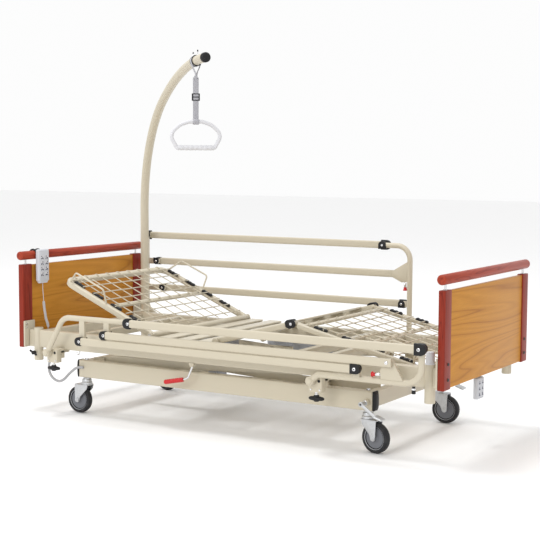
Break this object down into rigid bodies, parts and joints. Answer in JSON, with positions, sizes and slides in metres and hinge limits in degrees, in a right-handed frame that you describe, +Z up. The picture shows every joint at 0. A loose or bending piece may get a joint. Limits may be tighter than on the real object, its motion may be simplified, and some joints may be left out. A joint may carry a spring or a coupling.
{
  "type": "adjustable hospital bed",
  "caption": "Wheeled nursing bed with a scissor lift, a hinged mattress platform, wooden ends, folding side guards, a lifting pole with a hand grip and a wired handset.",
  "frame": {"origin": "centre of the bounding box's footprint, on the floor", "axes": "+X along the bed towards the foot end, +Y towards the side with the lifting pole, +Z up"},
  "size_m": [2.1437, 1.051, 1.6537],
  "materials": {
    "frame_paint": "satin powder coat",
    "cherry_wood": "satin lacquer",
    "honey_wood": "satin lacquer",
    "zinc": "zinc plated",
    "chrome": "polished",
    "black_plastic": "matt",
    "tyre": "matt",
    "grey_plastic": "matt",
    "white_plastic": "semi-gloss",
    "red_plastic": "semi-gloss",
    "webbing": "woven",
    "cable": "matt",
    "white_cable": "matt"
  },
  "bodies": {
    "chassis": {"chassis_tubes": "frame_paint", "chassis_cross_members": "frame_paint", "chassis_end_caps": "black_plastic", "lift_actuator": "grey_plastic"},
    "upper_frame": {"upper_frame": "frame_paint", "frame_cross_tubes": "frame_paint", "frame_members": "frame_paint", "seat_slats": "frame_paint", "bed_end_posts": "cherry_wood", "bed_end_boards": "honey_wood", "hand_rods": "cherry_wood", "bed_end_fittings": "chrome", "guard_clamps": "frame_paint", "frame_trim": "white_plastic", "drive_unit": "grey_plastic", "lockout_box": "grey_plastic", "conduit": "cable", "handset_cord": "white_cable"},
    "scissor_outer": {"scissor_outer_arms": "frame_paint"},
    "scissor_inner": {"scissor_inner_arms": "frame_paint"},
    "lift_rod": {"lift_rod": "chrome"},
    "wing_knob": {"wing_knob": "black_plastic"},
    "backrest": {"backrest_frame": "frame_paint", "backrest_mesh": "frame_paint"},
    "thigh": {"thigh_frame": "frame_paint", "knee_caps": "black_plastic"},
    "leg": {"leg_frame": "frame_paint", "leg_mesh": "frame_paint"},
    "lifting_pole": {"lifting_pole": "frame_paint"},
    "grab_strap": {"grab_strap": "webbing"},
    "grab_handle": {"grab_handle": "white_plastic"},
    "handset": {"handset": "grey_plastic", "handset_keys": "black_plastic"},
    "release_lever": {"release_lever": "red_plastic"},
    "brake_lever_nf": {"brake_lever_nf": "zinc"},
    "brake_lever_ff": {"brake_lever_ff": "zinc"},
    "caster_nh": {"caster_fork_nh": "zinc"},
    "wheel_nh": {"caster_wheel_nh": "tyre"},
    "caster_fh": {"caster_fork_fh": "zinc"},
    "wheel_fh": {"caster_wheel_fh": "tyre"},
    "caster_nf": {"caster_fork_nf": "zinc"},
    "wheel_nf": {"caster_wheel_nf": "tyre"},
    "caster_ff": {"caster_fork_ff": "zinc"},
    "wheel_ff": {"caster_wheel_ff": "tyre"},
    "guard_head_near": {"guard_head_arm_near": "frame_paint"},
    "knob_head_near": {"clamp_knob_head_near": "black_plastic"},
    "guard_foot_near": {"guard_foot_arm_near": "frame_paint"},
    "knob_foot_near": {"clamp_knob_foot_near": "black_plastic"},
    "guard_top_near": {"guard_top_rail_near": "frame_paint"},
    "guard_middle_near": {"guard_middle_rail_near": "frame_paint"},
    "guard_low_near": {"guard_low_rail_near": "frame_paint"},
    "plunger_near": {"guard_plunger_near": "red_plastic"},
    "guard_head_far": {"guard_head_arm_far": "frame_paint"},
    "knob_head_far": {"clamp_knob_head_far": "black_plastic"},
    "guard_foot_far": {"guard_foot_arm_far": "frame_paint"},
    "knob_foot_far": {"clamp_knob_foot_far": "black_plastic"},
    "guard_top_far": {"guard_top_rail_far": "frame_paint"},
    "guard_middle_far": {"guard_middle_rail_far": "frame_paint"},
    "guard_low_far": {"guard_low_rail_far": "frame_paint"},
    "plunger_far": {"guard_plunger_far": "red_plastic"}
  },
  "joints": [
    {"name": "lift", "type": "slide", "parent": "chassis", "child": "upper_frame", "axis": [0, 0, 1], "range_m": [0, 0.38]},
    {"name": "scissor_outer_pivot", "type": "hinge", "parent": "chassis", "child": "scissor_outer", "pos_m": [-0.692, 0, 0.241], "axis": [0, -1, 0], "range_deg": [0, 19.52]},
    {"name": "scissor_inner_pivot", "type": "hinge", "parent": "upper_frame", "child": "scissor_inner", "pos_m": [-0.692, 0, 0.30119], "axis": [0, 1, 0], "range_deg": [0, 19.52]},
    {"name": "lift_rod_slide", "type": "slide", "parent": "chassis", "child": "lift_rod", "axis": [1, 0, 0], "range_m": [0, 0.02382]},
    {"name": "caster_swivel_nh", "type": "hinge", "parent": "chassis", "child": "caster_nh", "pos_m": [-0.745, -0.342, 0.15], "axis": [0, 0, 1], "continuous": true},
    {"name": "wheel_spin_nh", "type": "hinge", "parent": "caster_nh", "child": "wheel_nh", "pos_m": [-0.785, -0.342, 0.0625], "axis": [0, -1, 0], "continuous": true},
    {"name": "caster_swivel_fh", "type": "hinge", "parent": "chassis", "child": "caster_fh", "pos_m": [-0.745, 0.342, 0.15], "axis": [0, 0, 1], "continuous": true},
    {"name": "wheel_spin_fh", "type": "hinge", "parent": "caster_fh", "child": "wheel_fh", "pos_m": [-0.785, 0.342, 0.0625], "axis": [0, -1, 0], "continuous": true},
    {"name": "caster_swivel_nf", "type": "hinge", "parent": "chassis", "child": "caster_nf", "pos_m": [0.695, -0.342, 0.15], "axis": [0, 0, 1], "continuous": true},
    {"name": "wheel_spin_nf", "type": "hinge", "parent": "caster_nf", "child": "wheel_nf", "pos_m": [0.73439, -0.34895, 0.0625], "axis": [0.1736, 0.9848, 0], "continuous": true},
    {"name": "caster_swivel_ff", "type": "hinge", "parent": "chassis", "child": "caster_ff", "pos_m": [0.695, 0.342, 0.15], "axis": [0, 0, 1], "continuous": true},
    {"name": "wheel_spin_ff", "type": "hinge", "parent": "caster_ff", "child": "wheel_ff", "pos_m": [0.73494, 0.34409, 0.0625], "axis": [-0.0523, 0.9986, 0], "continuous": true},
    {"name": "brake_lever_nf", "type": "hinge", "parent": "chassis", "child": "brake_lever_nf", "pos_m": [0.702, -0.405, 0.205], "axis": [0, 1, 0], "range_deg": [0, 15]},
    {"name": "brake_lever_ff", "type": "hinge", "parent": "chassis", "child": "brake_lever_ff", "pos_m": [0.702, 0.405, 0.205], "axis": [0, 1, 0], "range_deg": [0, 15]},
    {"name": "backrest", "type": "hinge", "parent": "upper_frame", "child": "backrest", "pos_m": [-0.345, 0, 0.396], "axis": [0, 1, 0], "range_deg": [-23.3, 46.7]},
    {"name": "thigh", "type": "hinge", "parent": "upper_frame", "child": "thigh", "pos_m": [-0.009, 0, 0.396], "axis": [0, -1, 0], "range_deg": [-14.8, 15]},
    {"name": "knee", "type": "hinge", "parent": "thigh", "child": "leg", "pos_m": [0.36129, 0, 0.49384], "axis": [0, 1, 0], "range_deg": [-25.92, 26.27]},
    {"name": "guard_head_arm_near", "type": "hinge", "parent": "upper_frame", "child": "guard_head_near", "pos_m": [-0.853, -0.489, 0.291], "axis": [0, -1, 0], "range_deg": [0, 90]},
    {"name": "clamp_knob_head_near", "type": "hinge", "parent": "upper_frame", "child": "knob_head_near", "pos_m": [-0.84, -0.46, 0.22], "axis": [0, 0, 1], "continuous": true},
    {"name": "guard_foot_arm_near", "type": "hinge", "parent": "upper_frame", "child": "guard_foot_near", "pos_m": [0.5115, -0.489, 0.291], "axis": [0, -1, 0], "range_deg": [0, 90]},
    {"name": "clamp_knob_foot_near", "type": "hinge", "parent": "upper_frame", "child": "knob_foot_near", "pos_m": [0.5235, -0.46, 0.22], "axis": [0, 0, 1], "continuous": true},
    {"name": "guard_top_rail_near", "type": "hinge", "parent": "guard_head_near", "child": "guard_top_near", "pos_m": [-0.374, -0.512, 0.458], "axis": [0, 1, 0], "range_deg": [0, 90]},
    {"name": "guard_middle_rail_near", "type": "hinge", "parent": "guard_head_near", "child": "guard_middle_near", "pos_m": [-0.507, -0.512, 0.397], "axis": [0, 1, 0], "range_deg": [0, 90]},
    {"name": "guard_low_rail_near", "type": "hinge", "parent": "guard_head_near", "child": "guard_low_near", "pos_m": [-0.644, -0.512, 0.36], "axis": [0, 1, 0], "range_deg": [0, 90]},
    {"name": "guard_plunger_near", "type": "slide", "parent": "guard_foot_near", "child": "plunger_near", "axis": [-1, 0, 0], "range_m": [0, 0.012], "stiffness_N_per_m": 800, "springref_m": -0.006},
    {"name": "guard_head_arm_far", "type": "hinge", "parent": "upper_frame", "child": "guard_head_far", "pos_m": [-0.853, 0.489, 0.291], "axis": [0, 1, 0], "range_deg": [0, 90]},
    {"name": "clamp_knob_head_far", "type": "hinge", "parent": "upper_frame", "child": "knob_head_far", "pos_m": [-0.84, 0.46, 0.22], "axis": [0, 0, 1], "continuous": true},
    {"name": "guard_foot_arm_far", "type": "hinge", "parent": "upper_frame", "child": "guard_foot_far", "pos_m": [0.5115, 0.489, 0.291], "axis": [0, 1, 0], "range_deg": [0, 90]},
    {"name": "clamp_knob_foot_far", "type": "hinge", "parent": "upper_frame", "child": "knob_foot_far", "pos_m": [0.5235, 0.46, 0.22], "axis": [0, 0, 1], "continuous": true},
    {"name": "guard_top_rail_far", "type": "hinge", "parent": "guard_head_far", "child": "guard_top_far", "pos_m": [-1.02, 0.512, 0.77], "axis": [0, -1, 0], "range_deg": [0, 90]},
    {"name": "guard_middle_rail_far", "type": "hinge", "parent": "guard_head_far", "child": "guard_middle_far", "pos_m": [-0.959, 0.512, 0.637], "axis": [0, -1, 0], "range_deg": [0, 90]},
    {"name": "guard_low_rail_far", "type": "hinge", "parent": "guard_head_far", "child": "guard_low_far", "pos_m": [-0.922, 0.512, 0.5], "axis": [0, -1, 0], "range_deg": [0, 90]},
    {"name": "guard_plunger_far", "type": "slide", "parent": "guard_foot_far", "child": "plunger_far", "axis": [0, 0, -1], "range_m": [0, 0.012], "stiffness_N_per_m": 800, "springref_m": -0.006},
    {"name": "wing_knob", "type": "hinge", "parent": "upper_frame", "child": "wing_knob", "pos_m": [-0.975, -0.44, 0.275], "axis": [0, 1, 0], "continuous": true},
    {"name": "pole_swivel", "type": "hinge", "parent": "upper_frame", "child": "lifting_pole", "pos_m": [-0.975, 0.407, 0.388], "axis": [0, 0, 1], "range_deg": [-90, 90]},
    {"name": "strap_swing", "type": "hinge", "parent": "lifting_pole", "child": "grab_strap", "pos_m": [-0.33659, -0.05683, 1.60582], "axis": [0.8043, -0.5843, 0.108], "range_deg": [-30, 30]},
    {"name": "handle_swing", "type": "hinge", "parent": "grab_strap", "child": "grab_handle", "pos_m": [-0.33659, -0.05683, 1.33382], "axis": [0.7071, 0.7071, 0], "range_deg": [-60, 60]},
    {"name": "handset_lift_off", "type": "slide", "parent": "upper_frame", "child": "handset", "axis": [0, 0, 1], "range_m": [0, 0.12]},
    {"name": "release_lever", "type": "hinge", "parent": "upper_frame", "child": "release_lever", "pos_m": [-0.112, -0.41, 0.29], "axis": [0, 1, 0], "range_deg": [0, 18], "stiffness_Nm_per_rad": 3, "springref_deg": -11.46}
  ],
  "couplings": [
    {"joint": "scissor_outer_pivot", "follows": "lift", "rad_per_m": 0.89588},
    {"joint": "scissor_inner_pivot", "follows": "lift", "rad_per_m": 0.89588},
    {"joint": "lift_rod_slide", "follows": "lift", "ratio": 0.062409},
    {"joint": "knee", "follows": "thigh", "ratio": 1.75},
    {"joint": "guard_foot_arm_near", "follows": "guard_head_arm_near", "ratio": 1},
    {"joint": "guard_top_rail_near", "follows": "guard_head_arm_near", "ratio": 1},
    {"joint": "guard_middle_rail_near", "follows": "guard_head_arm_near", "ratio": 1},
    {"joint": "guard_low_rail_near", "follows": "guard_head_arm_near", "ratio": 1},
    {"joint": "guard_foot_arm_far", "follows": "guard_head_arm_far", "ratio": 1},
    {"joint": "guard_top_rail_far", "follows": "guard_head_arm_far", "ratio": 1},
    {"joint": "guard_middle_rail_far", "follows": "guard_head_arm_far", "ratio": 1},
    {"joint": "guard_low_rail_far", "follows": "guard_head_arm_far", "ratio": 1}
  ]
}
